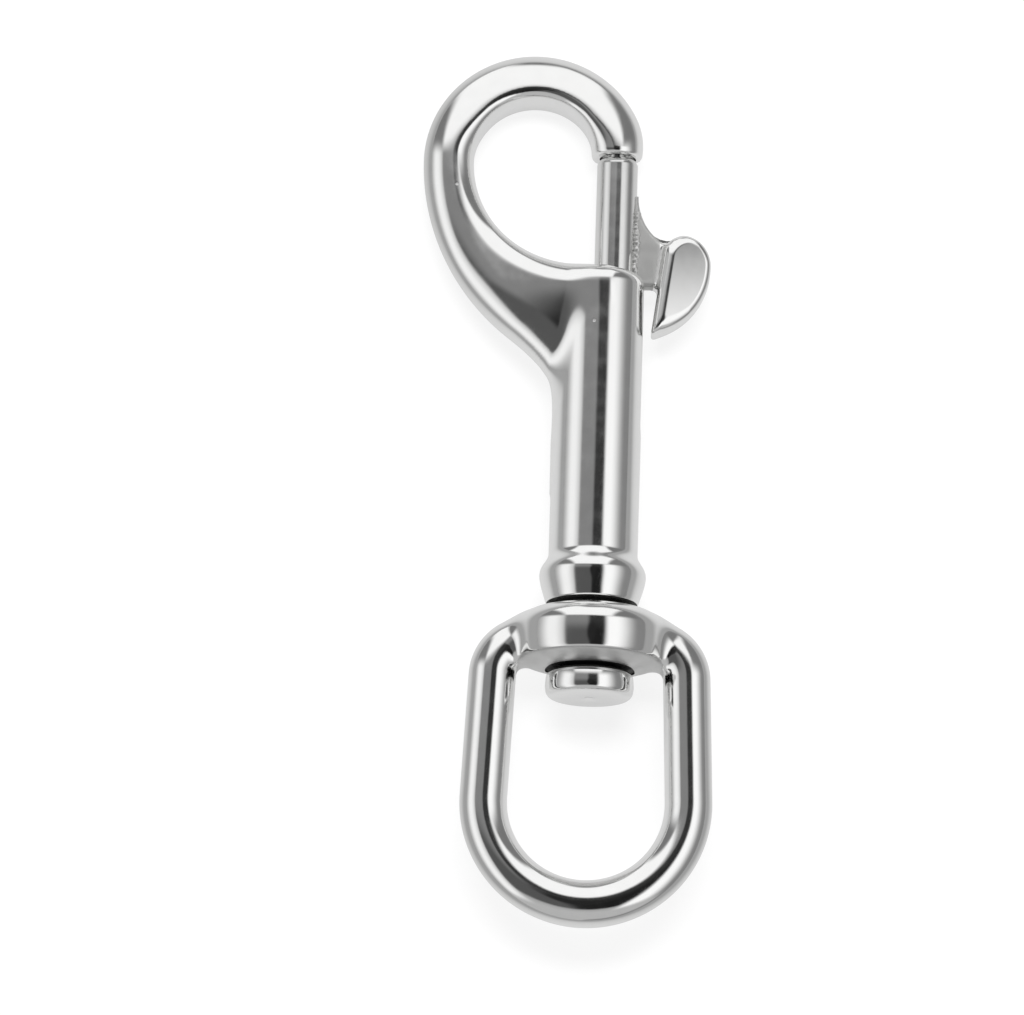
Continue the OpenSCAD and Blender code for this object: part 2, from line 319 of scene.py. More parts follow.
def bow_stations():
    """Rough stations along the hook, from the nose to the barrel, as inner and outer points."""
    yield Vector((nose_x - bow_w / 2, nose_y, 0)), Vector((nose_x + bow_w / 2, nose_y, 0))
    for step in range(21):  # round the bow
        a = math.radians(25 + 7.75 * step)
        way = Vector((math.cos(a), math.sin(a), 0))
        centre = Vector((loop_x, loop_y, 0))
        yield centre + way * loop_r, centre + way * (loop_r + bow_w)
    for step in range(1, 13):  # down the arm
        a = math.radians(180 + 90 * step / 12)
        b = math.radians(180 + 38 * step / 12)
        inner = Vector((throat_x + throat_r * math.cos(a), loop_y + throat_r * math.sin(a), 0))
        outer = Vector((back_x + back_r * math.cos(b), loop_y + back_r * math.sin(b), 0))
        yield inner, outer
    yield Vector((rim_end, throat_y, 0)), Vector((rim_end, throat_y - 12, 0))


def loft(bm, stations, half, sides=24):
    """Closed tube through oval rings set between pairs of points."""
    last = None
    stations = list(stations)
    for index, (inner, outer) in enumerate(stations):
        across = outer - inner
        way = across.normalized()
        turn = Matrix((way, (0, 0, 1), way.cross(Vector((0, 0, 1))))).transposed().to_4x4()
        place = Matrix.Translation((inner + outer) / 2) @ turn
        place = place @ Matrix.Diagonal((across.length / 2, half, 1, 1))
        made = bmesh.ops.create_circle(
            bm, cap_ends=index in (0, len(stations) - 1), segments=sides, radius=1, matrix=place)
        edges = list({e for v in made["verts"] for e in v.link_edges})
        if last:
            bmesh.ops.bridge_loops(bm, edges=last + edges)
        last = edges


bm = bmesh.new()
loft(bm, bow_stations(), bow_half)
add_rod(bm, 0, collar_y + shoulder_h, barrel_r, tongue_y - collar_y - shoulder_h)
add_rod(bm, 0, collar_y + shoulder_h, collar_r, collar_h - shoulder_h)
add_rod(bm, 0, collar_y, shoulder_r, 2)
bmesh.ops.recalc_face_normals(bm, faces=bm.faces)
hook = new_piece("hook_casting", bm)
skin(hook, 0.19)
settle(hook.data, hook_field, 10)

bore = rod("bore", bolt_x, bore_y, bore_r, mouth_y - bore_y + 4)
socket = rod("socket", bolt_x, nose_y - 2, socket_r, socket_l + 2)
pin_bore = rod("pin_bore", 0, collar_y - 2, pin_r, pin_bore_l + 2)
slot_foot = slot_y + slot_w / 2
bm = bmesh.new()
bmesh.ops.create_cube(
    bm, matrix=Matrix.Translation((bolt_x + 4, (slot_foot + mouth_y + 4) / 2, 0))
    @ Matrix.Diagonal((8, mouth_y + 4 - slot_foot, slot_w, 1)))
slot = new_piece("slot", bm)
bm = bmesh.new()
bmesh.ops.create_cone(
    bm, cap_ends=True, segments=48, radius1=slot_w / 2, radius2=slot_w / 2, depth=8,
    matrix=Matrix.Translation((bolt_x + 4, slot_foot, 0)) @ Matrix.Rotation(math.pi / 2, 4, "Y"))
slot_end = new_piece("slot_end", bm)
cut(hook, bore, socket, pin_bore, slot, slot_end)
# a clean line round the collar, where the painted shade of the gap under it begins
bm = bmesh.new()
bm.from_mesh(hook.data)
bmesh.ops.bisect_plane(
    bm, geom=bm.verts[:] + bm.edges[:] + bm.faces[:], dist=1e-4, plane_co=(0, gap_shade_line, 0),
    plane_no=(0, 1, 0))
bm.to_mesh(hook.data)
bm.free()
finish_piece(hook, "hook", "hook_body")


def add_node(tree, kind, inputs=(), **settings):
    """Adds a node, sets it up and joins or sets its inputs."""
    node = tree.nodes.new(kind)
    for key, value in settings.items():
        setattr(node, key, value)
    for key, value in dict(inputs).items():
        if isinstance(value, bpy.types.NodeSocket):
            tree.links.new(value, node.inputs[key])
        else:
            node.inputs[key].default_value = value
    return node


def new_group(name, inputs, outputs):
    """Empty shader node group with its named inputs and outputs."""
    group = bpy.data.node_groups.new(name, "ShaderNodeTree")
    for key, value in inputs.items():
        socket = group.interface.new_socket(key, in_out="INPUT", socket_type="NodeSocketFloat")
        socket.default_value = value
    for key, kind in outputs.items():
        group.interface.new_socket(key, in_out="OUTPUT", socket_type=kind)
    return group, group.nodes.new("NodeGroupInput"), group.nodes.new("NodeGroupOutput")


# Buffed metal: slow ripples left by the wheel, hairlines that run two ways, a few cast pits, and
# a gloss that is not quite even
buffed, given, wanted = new_group(
    "buffed metal",
    {"Gloss roughness": 0.07, "Ripple": 1.0, "Hairlines": 1.0, "Pits": 1.0},
    {"Tint": "NodeSocketColor", "Roughness": "NodeSocketFloat", "Height": "NodeSocketFloat"})
place = add_node(buffed, "ShaderNodeTexCoord").outputs["Object"]
ripple = add_node(
    buffed, "ShaderNodeTexNoise", {"Vector": place, "Scale": 260.0, "Detail": 2.0})
along = add_node(buffed, "ShaderNodeMapping", {"Vector": place, "Scale": (1, 0.04, 1)})
across = add_node(
    buffed, "ShaderNodeMapping",
    {"Vector": place, "Rotation": (0, 0, 0.9), "Scale": (0.05, 1, 1)})
hair_a = add_node(
    buffed, "ShaderNodeTexNoise",
    {"Vector": along.outputs[0], "Scale": 9000.0, "Detail": 3.0, "Roughness": 0.7})
hair_b = add_node(
    buffed, "ShaderNodeTexNoise",
    {"Vector": across.outputs[0], "Scale": 7000.0, "Detail": 3.0, "Roughness": 0.7})
hairs = add_node(
    buffed, "ShaderNodeMath", {0: hair_a.outputs["Fac"], 1: hair_b.outputs["Fac"]},
    operation="ADD")
cells = add_node(buffed, "ShaderNodeTexVoronoi", {"Vector": place, "Scale": 420.0})
pit = add_node(
    buffed, "ShaderNodeMapRange",
    {"Value": cells.outputs["Distance"], "From Min": 0.03, "From Max": 0.09,
     "To Min": 1.0, "To Max": 0.0}, interpolation_type="SMOOTHSTEP")
chosen = add_node(
    buffed, "ShaderNodeSeparateColor", {"Color": cells.outputs["Color"]})
chosen = add_node(
    buffed, "ShaderNodeMath", {0: chosen.outputs["Red"], 1: 0.93}, operation="GREATER_THAN")
pit = add_node(
    buffed, "ShaderNodeMath", {0: pit.outputs[0], 1: chosen.outputs[0]}, operation="MULTIPLY")
pit = add_node(
    buffed, "ShaderNodeMath", {0: pit.outputs[0], 1: given.outputs["Pits"]}, operation="MULTIPLY")
height = add_node(
    buffed, "ShaderNodeMath", {0: ripple.outputs["Fac"], 1: given.outputs["Ripple"]},
    operation="MULTIPLY")
hairs = add_node(
    buffed, "ShaderNodeMath", {0: hairs.outputs[0], 1: given.outputs["Hairlines"]},
    operation="MULTIPLY")
height = add_node(
    buffed, "ShaderNodeMath", {0: hairs.outputs[0], 1: 0.02, 2: height.outputs[0]},
    operation="MULTIPLY_ADD")
height = add_node(
    buffed, "ShaderNodeMath", {0: pit.outputs[0], 1: -1.2, 2: height.outputs[0]},
    operation="MULTIPLY_ADD")
cloud = add_node(
    buffed, "ShaderNodeTexNoise", {"Vector": place, "Scale": 700.0, "Detail": 4.0})
uneven = add_node(
    buffed, "ShaderNodeMapRange",
    {"Value": cloud.outputs["Fac"], "From Min": 0.35, "From Max": 0.7, "To Min": 0.8,
     "To Max": 1.35})
rough = add_node(
    buffed, "ShaderNodeMath", {0: uneven.outputs[0], 1: given.outputs["Gloss roughness"]},
    operation="MULTIPLY")
rough = add_node(
    buffed, "ShaderNodeMath", {0: pit.outputs[0], 1: 0.3, 2: rough.outputs[0]},
    operation="MULTIPLY_ADD")
tint = add_node(
    buffed, "ShaderNodeMapRange",
    {"Value": cloud.outputs["Fac"], "From Min": 0.3, "From Max": 0.7, "To Min": 0.97,
     "To Max": 1.0})
tint = add_node(
    buffed, "ShaderNodeCombineColor",
    {"Red": tint.outputs[0], "Green": tint.outputs[0], "Blue": tint.outputs[0]})
for key, source in {"Tint": tint, "Roughness": rough, "Height": height}.items():
    buffed.links.new(source.outputs[0], wanted.inputs[key])


def metal(name, colour, roughness, ripple=1.0, hairlines=1.0, pits=0.0, depth=6e-6):
    """Steel with the buffed metal pattern in its colour, gloss and surface."""
    material = bpy.data.materials.new(name)
    material.use_nodes = True
    tree = material.node_tree
    shader = tree.nodes["Principled BSDF"]
    shader.inputs["Metallic"].default_value = 1
    pattern = add_node(tree, "ShaderNodeGroup", node_tree=buffed)
    for key, value in (("Gloss roughness", roughness), ("Ripple", ripple),
                       ("Hairlines", hairlines), ("Pits", pits)):
        pattern.inputs[key].default_value = value
    mixed = add_node(
        tree, "ShaderNodeMix", {0: 1.0, 6: pattern.outputs["Tint"], 7: (*colour, 1)},
        data_type="RGBA", blend_type="MULTIPLY")
    bump = add_node(
        tree, "ShaderNodeBump", {"Height": pattern.outputs["Height"], "Distance": depth})
    tree.links.new(mixed.outputs[2], shader.inputs["Base Color"])
    tree.links.new(pattern.outputs["Roughness"], shader.inputs["Roughness"])
    tree.links.new(bump.outputs[0], shader.inputs["Normal"])
    return material


hook.data.materials.append(
    metal("buffed hook casting", (0.88, 0.88, 0.875), 0.1, pits=1.0))
# painted shade: the collar's shoulder and underside, in the gap, get a near-black dull steel
hook.data.materials.append(
    metal("painted gap shade", (0.07, 0.07, 0.068), 0.6, ripple=2.0, hairlines=6.0, depth=2e-5))
back_down = lie_down.inverted()
for face in hook.data.polygons:
    face.material_index = int((back_down @ face.center).y < gap_shade_line)

# ---------------------------------------------------------------------------------------------
# Swivel pin: turned from bar with a round head, put through the eye's boss and pressed into the
# foot of the barrel. Its head is faced on the lathe, which leaves a centre mark.
# ---------------------------------------------------------------------------------------------
head_y = 22.95
head_h = 2.75
head_r = 4.35
head_foot_round = 0.8
head_top_round = 0.85


def turned(name, x, profile, sides=96):
    """Turned piece from its profile of radii and heights, between two points on its axis."""
    bm = bmesh.new()
    verts = [bmesh.ops.create_vert(bm, co=(x + r, y, 0))["vert"][0] for r, y in profile]
    edges = [bm.edges.new(pair) for pair in zip(verts, verts[1:])]
    bmesh.ops.spin(
        bm, geom=verts + edges, cent=(x, 0, 0), axis=(0, 1, 0), angle=2 * math.pi,
        steps=sides, use_merge=True, use_duplicate=False)
    bmesh.ops.remove_doubles(bm, verts=bm.verts, dist=1e-4)
    bmesh.ops.recalc_face_normals(bm, faces=bm.faces)
    return new_piece(name, bm)


def rounded(r, y, edge, start, end, steps=8):
    """Points of a rounded edge whose centre is at r and y, from angle start to end."""
    angles = [math.radians(start + (end - start) * k / steps) for k in range(steps + 1)]
    return [(r + edge * math.cos(a), y + edge * math.sin(a)) for a in angles]


# from the centre mark out over the head's face, up its crowned side, and up the shank
pin = turned("swivel_pin_steel", 0, [
    (0, head_y + 0.14), (0.2, head_y + 0.11), (0.5, head_y + 0.01), (1.6, head_y),
    *rounded(head_r - head_foot_round, head_y + head_foot_round, head_foot_round, -90, -5),
    (head_r + 0.05, head_y + 1.15),
    *rounded(
        head_r - head_top_round, head_y + head_h - head_top_round, head_top_round, 5, 90),
    (head_r - 1.1, head_y + head_h),
    (pin_r + 0.1, head_y + head_h),
    (pin_r, head_y + head_h + 0.1),
    (pin_r, head_y + head_h + 0.3),
    (pin_r, collar_y + pin_bore_l - 0.7),
    (pin_r, collar_y + pin_bore_l - 0.4),
    (pin_r - 0.4, collar_y + pin_bore_l - 0.02),
    (0, collar_y + pin_bore_l - 0.02),
])
finish_piece(pin, "hook", "swivel_pin")
pin.data.materials.append(metal("turned pin", (0.88, 0.88, 0.875), 0.08, ripple=0.4))
# painted shade: the shank above the head, in the gap under the boss, gets the near-black steel
# too
pin.data.materials.append(bpy.data.materials["painted gap shade"])
for face in pin.data.polygons:
    face.material_index = int((back_down @ face.center).y > head_y + head_h - 0.05)

# ---------------------------------------------------------------------------------------------
# Swivel eye: one casting, the round boss that turns on the pin and the bow of round bar below
# it. The bar runs into the boss with large fillets, and the whole is polished.
# ---------------------------------------------------------------------------------------------
boss_y = 25.8
boss_h = 5.9
boss_r = 7.5
boss_foot_edge = 0.4
boss_top_edge = 2.1
boss_crown = 0.15
boss_fillet = 1.5
cone_fillet = 0.3
seat_r = 4.6
seat_h = 0.15
seat_cut_r = head_r + 0.1
seat_cone = math.radians(19)
eye_bore_r = 2.58
bar_r = 2.35
eye_r = 10.1
eye_y = eye_r + bar_r
lean_deg = 2.2
leg_lean = math.radians(lean_deg)
eye_bend_r = 3.8
bend_y = arm_y - eye_bend_r
leg_foot = (eye_r * math.cos(leg_lean), eye_y + eye_r * math.sin(leg_lean))
leg_l = (bend_y + eye_bend_r * math.sin(leg_lean) - leg_foot[1]) / math.cos(leg_lean)
leg_head = (leg_foot[0] - leg_l * math.sin(leg_lean), leg_foot[1] + leg_l * math.cos(leg_lean))
bend_x = leg_head[0] - eye_bend_r * math.cos(leg_lean)


def eye_field(p):
    """The eye's round bar, run into the boss."""
    x, y, z = np.abs(p[:, 0]), p[:, 1], p[:, 2]
    # distance in the plane of the eye from the centre line of its bar
    along = (x - leg_foot[0]) * -math.sin(leg_lean) + (y - leg_foot[1]) * math.cos(leg_lean)
    aside = (x - leg_foot[0]) * math.cos(leg_lean) + (y - leg_foot[1]) * math.sin(leg_lean)
    ring = np.abs(np.hypot(x, y - eye_y) - eye_r)
    bend = np.abs(np.hypot(x - bend_x, y - bend_y) - eye_bend_r)
    arm = np.abs(y - arm_y)
    far = np.where(along < 0, ring, np.where(along < leg_l, np.abs(aside), bend))
    far = np.where((along >= leg_l) & (x < bend_x), arm, far)
    bar = np.hypot(far, z) - bar_r
    boss_top = boss_y + boss_h
    boss = turned_field(
        p, boss_r, boss_y, boss_top, boss_foot_edge, boss_top_edge, boss_crown)
    # the boss's underside is a shallow cone round its flat seat
    away = np.hypot(p[:, 0], p[:, 2]) - seat_r
    cone = away * math.sin(seat_cone) + (boss_y - p[:, 1]) * math.cos(seat_cone)
    return round_join(-round_join(-boss, -cone, cone_fillet), bar, boss_fillet)


def eye_stations():
    """Inner and outer points of the eye's bar, from one side of the boss round to the other."""
    half = [((bend_x - 1.5, arm_y), 90)]
    for step in range(5):  # round the bend
        a = 90 - (90 - lean_deg) * step / 4
        r = math.radians(a)
        half.append(((bend_x + eye_bend_r * math.cos(r), bend_y + eye_bend_r * math.sin(r)), a))
    for step in range(19):  # down the leg and round the end
        a = lean_deg - (90 + lean_deg) * step / 19
        r = math.radians(a)
        half.append(((eye_r * math.cos(r), eye_y + eye_r * math.sin(r)), a))
    half.append(((0, eye_y - eye_r), -90))
    other = [((-x, y), 180 - a) for (x, y), a in reversed(half[:-1])]
    for (x, y), a in half + other:
        way = Vector((math.cos(math.radians(a)), math.sin(math.radians(a)), 0))
        yield Vector((x, y, 0)) - way * bar_r, Vector((x, y, 0)) + way * bar_r


bm = bmesh.new()
loft(bm, eye_stations(), bar_r)
add_rod(bm, 0, boss_y, boss_r, boss_h)
bmesh.ops.recalc_face_normals(bm, faces=bm.faces)
eye = new_piece("swivel_eye_casting", bm)
skin(eye, 0.18)
settle(eye.data, eye_field)
seat = rod("seat", 0, boss_y - 0.5, seat_cut_r, 0.5 + seat_h)
cut(eye, rod("eye_bore", 0, boss_y - 2, eye_bore_r, boss_h + 4), seat)
finish_piece(eye, "eye", "swivel_eye")
eye.data.materials.append(metal("buffed eye casting", (0.88, 0.88, 0.875), 0.09, pits=0.6))
# painted shade: the boss's seat and bore get the near-black steel; the faced cone round them is
# satin
eye.data.materials.append(bpy.data.materials["painted gap shade"])
eye.data.materials.append(
    metal("faced boss", (0.62, 0.62, 0.615), 0.35, hairlines=4.0, depth=1e-5))
for face in eye.data.polygons:
    x, y, z = back_down @ face.center
    r, y = math.hypot(x, z), y - boss_y
    if r < seat_cut_r + 0.01 and -1 < y < boss_h - 1:
        face.material_index = 1
    elif r < boss_r - 0.2 and -1 < y < 0.1 + math.tan(seat_cone) * max(r - seat_r, 0):
        face.material_index = 2

# ---------------------------------------------------------------------------------------------
# Spring: drawn wire wound in a close-fitting coil, between the bore's floor and the bolt's foot.
# It stands in the bore.
# ---------------------------------------------------------------------------------------------
foot_y = 58.85
wire_r = 0.24
coil_r = 1.71
coil_gap = 0.02
spring_turns = 8
turn_steps = 32
spring_rise = foot_y - bore_y - 2 * (wire_r + coil_gap)

bm = bmesh.new()
ring = bmesh.ops.create_circle(
    bm, segments=12, radius=wire_r,
    matrix=Matrix.Translation((bolt_x + coil_r, bore_y + wire_r + coil_gap, 0)))["verts"]
first = list({e for v in ring for e in v.link_edges})
steps = spring_turns * turn_steps
last = bmesh.ops.spin(
    bm, geom=ring + first, cent=(bolt_x, 0, 0), axis=(0, 1, 0), angle=2 * math.pi * spring_turns,
    dvec=(0, spring_rise / steps, 0), steps=steps, use_merge=False, use_duplicate=False)
bmesh.ops.holes_fill(bm, edges=[e for e in bm.edges if e.is_boundary], sides=12)
bmesh.ops.recalc_face_normals(bm, faces=bm.faces)
spring = new_piece("spring_coil", bm)
finish_piece(spring, "hook", "spring")
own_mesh(spring)
spring.data.materials.append(metal("drawn wire", (0.62, 0.62, 0.61), 0.24, ripple=0.3))

# ---------------------------------------------------------------------------------------------
# Bolt: turned and polished rod that closes the hook, with a chamfered foot on the spring and a
# tapered tip that enters the nose's socket.
# ---------------------------------------------------------------------------------------------
bolt_r = 2.05
tip_y = 79.25
tip_r = 1.45
tip_l = 1.0

# from the chamfered foot up the rod to the tapered tip
bolt = turned("bolt_rod", bolt_x, [
    (0, foot_y), (bolt_r - 0.3, foot_y), (bolt_r, foot_y + 0.3), (bolt_r, foot_y + 0.5),
    (bolt_r, tip_y - tip_l - 0.3),
    (bolt_r, tip_y - tip_l - 0.1),
    (bolt_r - 0.02, tip_y - tip_l - 0.02),
    (bolt_r - 0.08, tip_y - tip_l + 0.06),
    (tip_r + 0.08, tip_y - 0.12), (tip_r - 0.02, tip_y - 0.02), (tip_r - 0.12, tip_y),
    (0, tip_y),
])
finish_piece(bolt, "bolt", "bolt")
bolt.data.materials.append(
    metal("turned bolt", (0.76, 0.76, 0.755), 0.12, ripple=0.5, hairlines=2.0))

# ---------------------------------------------------------------------------------------------
# Thumb lever: cast with a thin web and a flat thumb pad with a rounded rim. The web keeps its
# satin skin, its edge is welded along the bolt, and the pad is polished.
# ---------------------------------------------------------------------------------------------
web_y = 65.35
web_h = 9.5
web_half = 0.85
web_edge = 0.35
horn_w = 0.15
hollow_r = 6.0
hollow_x = bolt_x + bolt_r + horn_w + hollow_r
pad_near = barrel_r + 0.6
pad_far = pad_near + 5.9
pad_top = web_y + web_h - hollow_r + 2.0
pad_top_r = 3.2
pad_h = 10.8
pad_half = 2.2
pad_taper = 0.16
pad_foot_taper = 0.06
pad_swell = 0.03
pad_foot_thin = 0.1
pad_lean = math.radians(7)
pad_tip_round = 0.5
pad_corner_round = 1.8
pad_edge = 1.15
pad_far_edge = 0.55
pad_fillet = 0.8
web_far = pad_near + 1.5


def pad_distance(x, y):
    """Distance outside the pad's outline: a straight near side, a round top and a long sweep."""
    near = (pad_near - x) * math.cos(pad_lean) - (y - pad_top + pad_h) * -math.sin(pad_lean)
    top_y = pad_top - pad_top_r
    cap = np.hypot(x - pad_far + pad_top_r, np.maximum(y - top_y, 0)) - pad_top_r
    cap = np.where(x < pad_far - pad_top_r, y - pad_top, cap)
    sweep_r = pad_h - pad_top_r
    sweep = np.hypot(x - pad_far + sweep_r, y - top_y) - sweep_r
    sweep = np.where(x < pad_far - sweep_r, -(y - top_y) - sweep_r, sweep)
    return near, np.where(y > top_y, cap, sweep)


def lever_field(p):
    """The thumb pad, thinner outwards, run into the web with its hollowed upper edge."""
    x, y, z = p.T
    near, rest = pad_distance(x, y)
    down = np.clip((pad_top - y) / pad_h, -0.1, 1.1)
    half = pad_half - (pad_taper + pad_foot_taper * down) * (x - pad_near)
    half = half + pad_swell - pad_foot_thin * down * down
    thick = np.abs(z) - half
    # the pad's near top corner is well rounded, and its lower tip is left sharp
    corner = pad_tip_round + pad_corner_round * np.clip((y - pad_top + 4) / 3, 0, 1)
    plan = -round_join(-rest, -near, corner)
    # its rim narrows away from the near side
    edge = pad_edge - (pad_edge - pad_far_edge) * np.clip((-near - 1) / 2.5, 0, 1)
    pad = np.hypot(np.maximum(plan + edge, 0), np.maximum(thick + edge, 0))
    pad = pad + np.minimum(np.maximum(plan, thick) + edge, 0) - edge
    hollow = hollow_r - np.hypot(x - hollow_x, y - web_y - web_h)
    hollow = np.where(y > web_y + web_h, hollow_r - np.abs(x - hollow_x), hollow)
    hollow = np.where((x > hollow_x) | (y < web_y + web_h - hollow_r), -9, hollow)
    flat = np.maximum(np.maximum(y - web_y - web_h, web_y - y), hollow)
    flat = np.maximum(flat, np.maximum(bolt_x - x, x - web_far))
    web = np.hypot(np.maximum(flat + web_edge, 0), np.maximum(np.abs(z) - web_half + web_edge, 0))
    web = web + np.minimum(np.maximum(flat, np.abs(z) - web_half) + web_edge, 0) - web_edge
    return round_join(pad, web, pad_fillet)


bm = bmesh.new()
bmesh.ops.create_cube(
    bm, matrix=Matrix.Translation(((bolt_x + web_far) / 2, web_y + web_h / 2, 0))
    @ Matrix.Diagonal((web_far - bolt_x, web_h, 2 * web_half, 1)))
outline = bmesh.ops.create_circle(bm, cap_ends=True, segments=64, radius=1)["verts"]
middle = Vector((pad_near + 2.6, pad_top - 3.6))
for v in outline:
    a = math.atan2(v.co.y, v.co.x)
    way = Vector((math.cos(a), math.sin(a)))
    reach = 0.2
    while max(float(d) for d in pad_distance(*(np.array([c]) for c in middle + way * reach))) < 0:
        reach += 0.05
    v.co = (*(middle + way * reach), -pad_half)
face = [f for f in outline[0].link_faces if len(f.verts) > 32]
top = bmesh.ops.extrude_face_region(bm, geom=face)["geom"]
bmesh.ops.translate(
    bm, verts=[v for v in top if isinstance(v, bmesh.types.BMVert)], vec=(0, 0, 2 * pad_half))
bmesh.ops.recalc_face_normals(bm, faces=bm.faces)
lever = new_piece("thumb_lever_casting", bm)
skin(lever, 0.11)
settle(lever.data, lever_field)
cut(lever, rod("bolt_seat", bolt_x, web_y - 2, bolt_r + 0.005, web_h + 4))
finish_piece(lever, "bolt", "thumb_lever")
lever.data.materials.append(metal("buffed lever pad", (0.88, 0.88, 0.875), 0.09))
lever.data.materials.append(metal(
    "satin lever web", (0.72, 0.72, 0.71), 0.5, ripple=0.8, hairlines=6.0, pits=0.8, depth=2e-5))
polish_end = 0.45
for face in lever.data.polygons:
    x, y, _ = back_down @ face.center
    near = (pad_near - x) * math.cos(pad_lean) + (y - pad_top + pad_h) * math.sin(pad_lean)
    face.material_index = int(near > polish_end)

# ---------------------------------------------------------------------------------------------
# Weld bead: two runs of small uneven beads, front and back, in the corner between the bolt and
# the lever's web. They are left as welded.
# ---------------------------------------------------------------------------------------------
bead_r = 0.34
bead_pitch = 0.38
bead_z = 0.66
bead_x = bolt_x + math.sqrt((bolt_r + 0.12) ** 2 - bead_z ** 2)
bead_y = web_y + 0.4
bead_seed = 1

noise.seed_set(bead_seed)
bm = bmesh.new()
for step in range(20):
    for turned_over in (-1, 1):
        # each bead is shifted a little from its place in the run, and is larger or smaller
        shift = noise.noise_vector(Vector((1.7 * step, 7.3 * turned_over, 0.4)))
        bmesh.ops.create_icosphere(
            bm, subdivisions=3, radius=bead_r * (1 + 0.5 * shift.z),
            matrix=Matrix.Translation((
                bead_x + 0.25 * shift.x, bead_y + bead_pitch * step + 0.2 * shift.y,
                turned_over * bead_z)))
bead = new_piece("weld_bead", bm)
skin(bead, 0.06)
finish_piece(bead, "bolt", None, 60)
bead.data.materials.append(
    metal("weld bead", (0.76, 0.76, 0.75), 0.48, ripple=2.0, hairlines=2.0, pits=1.0, depth=2e-5))

# ---------------------------------------------------------------------------------------------
# Studio: the hook lies on a sheet of white paper under a dome of soft panels and one lamp, and
# the camera looks down on it from the eye's end.
# ---------------------------------------------------------------------------------------------
world = bpy.data.worlds.new("studio")
bpy.context.scene.world = world
world.use_nodes = True
sky = world.node_tree
look = add_node(sky, "ShaderNodeTexCoord").outputs["Generated"]
look = add_node(sky, "ShaderNodeSeparateXYZ", {0: look})
# degrees from straight up towards the lever's side, and from there towards the bow's end
side = add_node(
    sky, "ShaderNodeMath", {0: look.outputs["X"], 1: look.outputs["Z"]}, operation="ARCTAN2")
side = add_node(sky, "ShaderNodeMath", {0: side.outputs[0]}, operation="DEGREES").outputs[0]
ahead = add_node(sky, "ShaderNodeMath", {0: look.outputs["Y"]}, operation="ARCSINE")
ahead = add_node(sky, "ShaderNodeMath", {0: ahead.outputs[0]}, operation="DEGREES").outputs[0]


def ramp(value, lo, hi, start=0.0, end=1.0):
    """Goes smoothly from start to end as a value goes from lo to hi."""
    return add_node(
        sky, "ShaderNodeMapRange",
        {"Value": value, "From Min": lo, "From Max": hi, "To Min": start, "To Max": end},
        interpolation_type="SMOOTHSTEP").outputs[0]


def times(a, b):
    return add_node(sky, "ShaderNodeMath", {0: a, 1: b}, operation="MULTIPLY").outputs[0]


def band(value, lo, hi, soft):
    """1 where a value is between lo and hi, with soft edges."""
    rise = ramp(value, lo - soft / 2, lo + soft / 2)
    return times(rise, ramp(value, hi - soft / 2, hi + soft / 2, 1.0, 0.0))


def hang(level, bright, mask):
    """Hangs a panel of a brightness in front of what the level already shows."""
    return add_node(sky, "ShaderNodeMix", {0: mask, 2: level, 3: bright}).outputs[0]


# the dim room, paler towards the eye's end
level = ramp(ahead, -10, -50, 0.2, 0.5)
# the soft box on the left, brightest in its middle
left = times(ramp(side, -36, -60, 0.55, 1.0), ramp(side, -66, -92, 1.0, 0.4))
level = hang(level, left, times(ramp(side, -34, -46), band(ahead, -48, 25, 12)))
# a grey and a black panel overhead, side by side, dimmer towards the eye's end
dimming = ramp(ahead, 0, 15, 0.4, 1.0)
grey = times(band(side, -40, -4, 8), band(ahead, -32, 26, 8))
level = hang(level, times(dimming, 0.24), grey)
black = times(band(side, -4, 20, 8), band(ahead, -32, 26, 8))
level = hang(level, times(dimming, 0.035), black)
# the soft box on the right
right = ramp(side, 38, 78, 1.1, 0.25)
level = hang(level, right, times(ramp(side, 18, 28), band(ahead, -42, 25, 12)))
# the long soft box beyond the bow
beyond = times(band(look.outputs["X"], -0.62, 0.5, 0.14), band(ahead, 26, 80, 10))
level = hang(level, 1.05, beyond)
# the dim wall low on the right
wall = times(ramp(side, 20, 40), ramp(look.outputs["Z"], 0.16, 0.04))
level = hang(level, 0.24, wall)
# the lens, a black spot straight overhead
spot = add_node(sky, "ShaderNodeCombineXYZ", {0: side, 1: times(ahead, 0.6)}).outputs[0]
spot = add_node(sky, "ShaderNodeVectorMath", {0: spot}, operation="LENGTH")
level = hang(level, 0.02, ramp(spot.outputs["Value"], 4, 9, 1.0, 0.0))
# the camera itself sees plain white
seen = add_node(sky, "ShaderNodeLightPath").outputs["Is Camera Ray"]
level = hang(level, 1.0, seen)
sky.links.new(level, sky.nodes["Background"].inputs["Color"])

# the sheet: pale to other light, and lit from within where the camera and the metal see it
bm = bmesh.new()
bmesh.ops.create_grid(bm, x_segments=1, y_segments=1, size=3)
floor = new_piece("floor", bm)
paper = bpy.data.materials.new("paper")
paper.use_nodes = True
tree = paper.node_tree
tree.nodes.remove(tree.nodes["Principled BSDF"])
path = add_node(tree, "ShaderNodeLightPath")
shown_ray = add_node(
    tree, "ShaderNodeMath",
    {0: path.outputs["Is Camera Ray"], 1: path.outputs["Is Glossy Ray"]}, operation="MAXIMUM")
shown_ray = add_node(
    tree, "ShaderNodeMath",
    {0: shown_ray.outputs[0], 1: path.outputs["Is Transmission Ray"]}, operation="MAXIMUM")
plain = add_node(tree, "ShaderNodeBsdfDiffuse", {"Color": (0.8, 0.8, 0.8, 1)})
# painted shade: the sheet is darker where the metal sees it than where the camera sees it
shade = add_node(tree, "ShaderNodeMix", {0: path.outputs["Is Glossy Ray"], 2: 0.24, 3: 0.15})
lit = add_node(tree, "ShaderNodeBsdfDiffuse", {"Color": shade.outputs[0]})
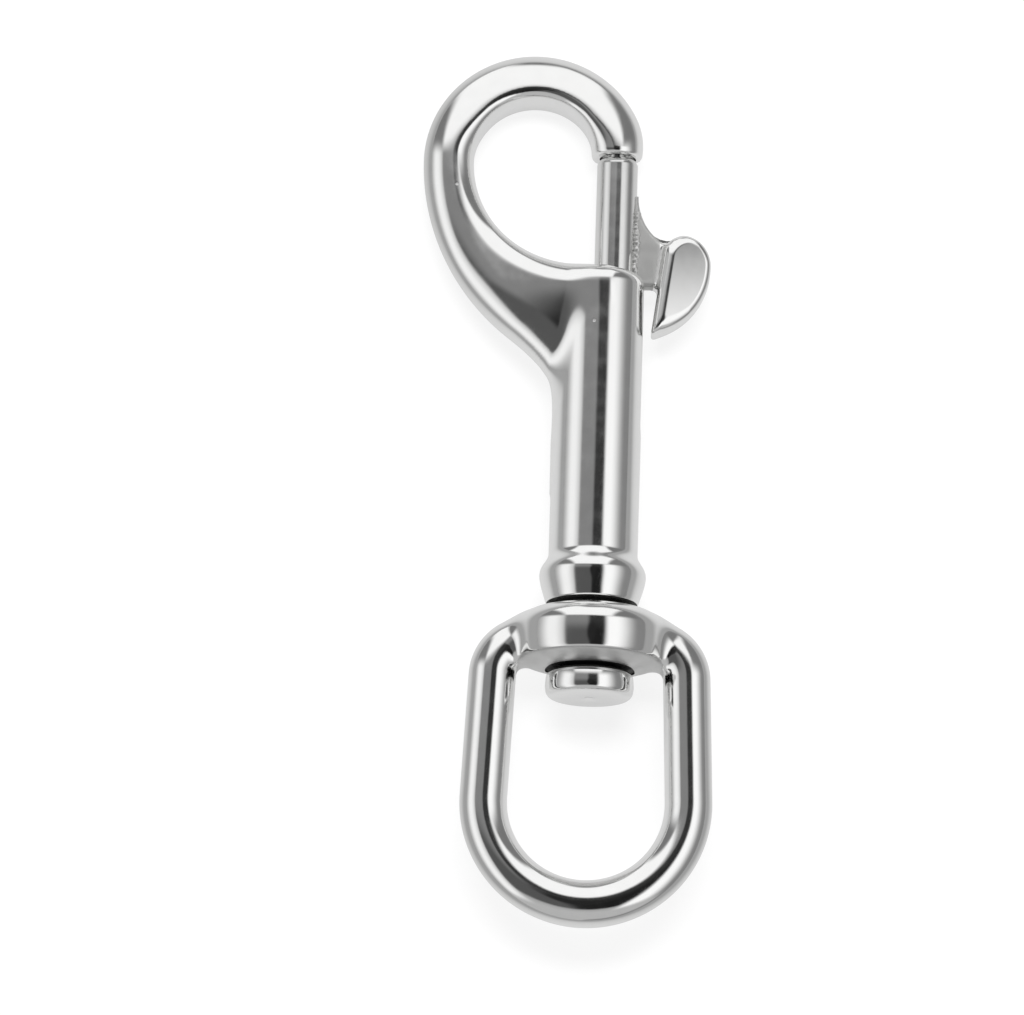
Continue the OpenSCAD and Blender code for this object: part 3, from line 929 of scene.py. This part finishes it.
# painted light: where only the metal sees it, the sheet glows as a pool round the object, less
# further away
place = add_node(
    tree, "ShaderNodeMapping",
    {"Vector": add_node(tree, "ShaderNodeTexCoord").outputs["Object"], "Location": (-0.003, 0, 0),
     "Scale": (1, 0.3, 1)})
away = add_node(tree, "ShaderNodeVectorMath", {0: place.outputs[0]}, operation="LENGTH")
away = add_node(
    tree, "ShaderNodeMapRange",
    {"Value": away.outputs["Value"], "From Min": 0.01, "From Max": 0.045, "To Min": 0.6,
     "To Max": 0.22}, interpolation_type="SMOOTHSTEP")
glow = add_node(
    tree, "ShaderNodeMix", {0: path.outputs["Is Glossy Ray"], 2: 0.8, 3: away.outputs[0]})
white = add_node(tree, "ShaderNodeEmission", {"Color": glow.outputs[0]})
bright = add_node(tree, "ShaderNodeAddShader", {0: lit.outputs[0], 1: white.outputs[0]})
mix = add_node(
    tree, "ShaderNodeMixShader",
    {0: shown_ray.outputs[0], 1: plain.outputs[0], 2: bright.outputs[0]})
tree.links.new(mix.outputs[0], tree.nodes["Material Output"].inputs["Surface"])
floor.data.materials.append(paper)

lamp = bpy.data.objects.new("overhead lamp", bpy.data.lights.new("overhead lamp", "AREA"))
bpy.context.scene.collection.objects.link(lamp)
lamp.data.shape = "RECTANGLE"
lamp.data.size = 0.5
lamp.data.size_y = 0.25
lamp.data.energy = 6
lamp.visible_glossy = False
lamp_up = math.radians(74)
aim = Vector((0, math.cos(lamp_up), math.sin(lamp_up)))
lamp.matrix_world = Matrix.Translation(aim) @ aim.to_track_quat("Z", "Y").to_matrix().to_4x4()

camera = bpy.data.objects.new("camera", bpy.data.cameras.new("camera"))
bpy.context.scene.collection.objects.link(camera)
camera.data.sensor_width = 36
camera.data.lens = 210.9375
camera.data.clip_start = 0.05
elevation, roll, distance = math.radians(80.5), math.radians(1.91), 0.598
centre = Vector((-0.0053, -0.00244, 0.006))
back = Vector((0, -math.cos(elevation), math.sin(elevation)))
camera.matrix_world = (
    Matrix.Translation(centre + back * distance)
    @ back.to_track_quat("Z", "Y").to_matrix().to_4x4()
    @ Matrix.Rotation(roll, 4, "Z"))
bpy.context.scene.camera = camera
bpy.context.scene.view_settings.view_transform = "Standard"
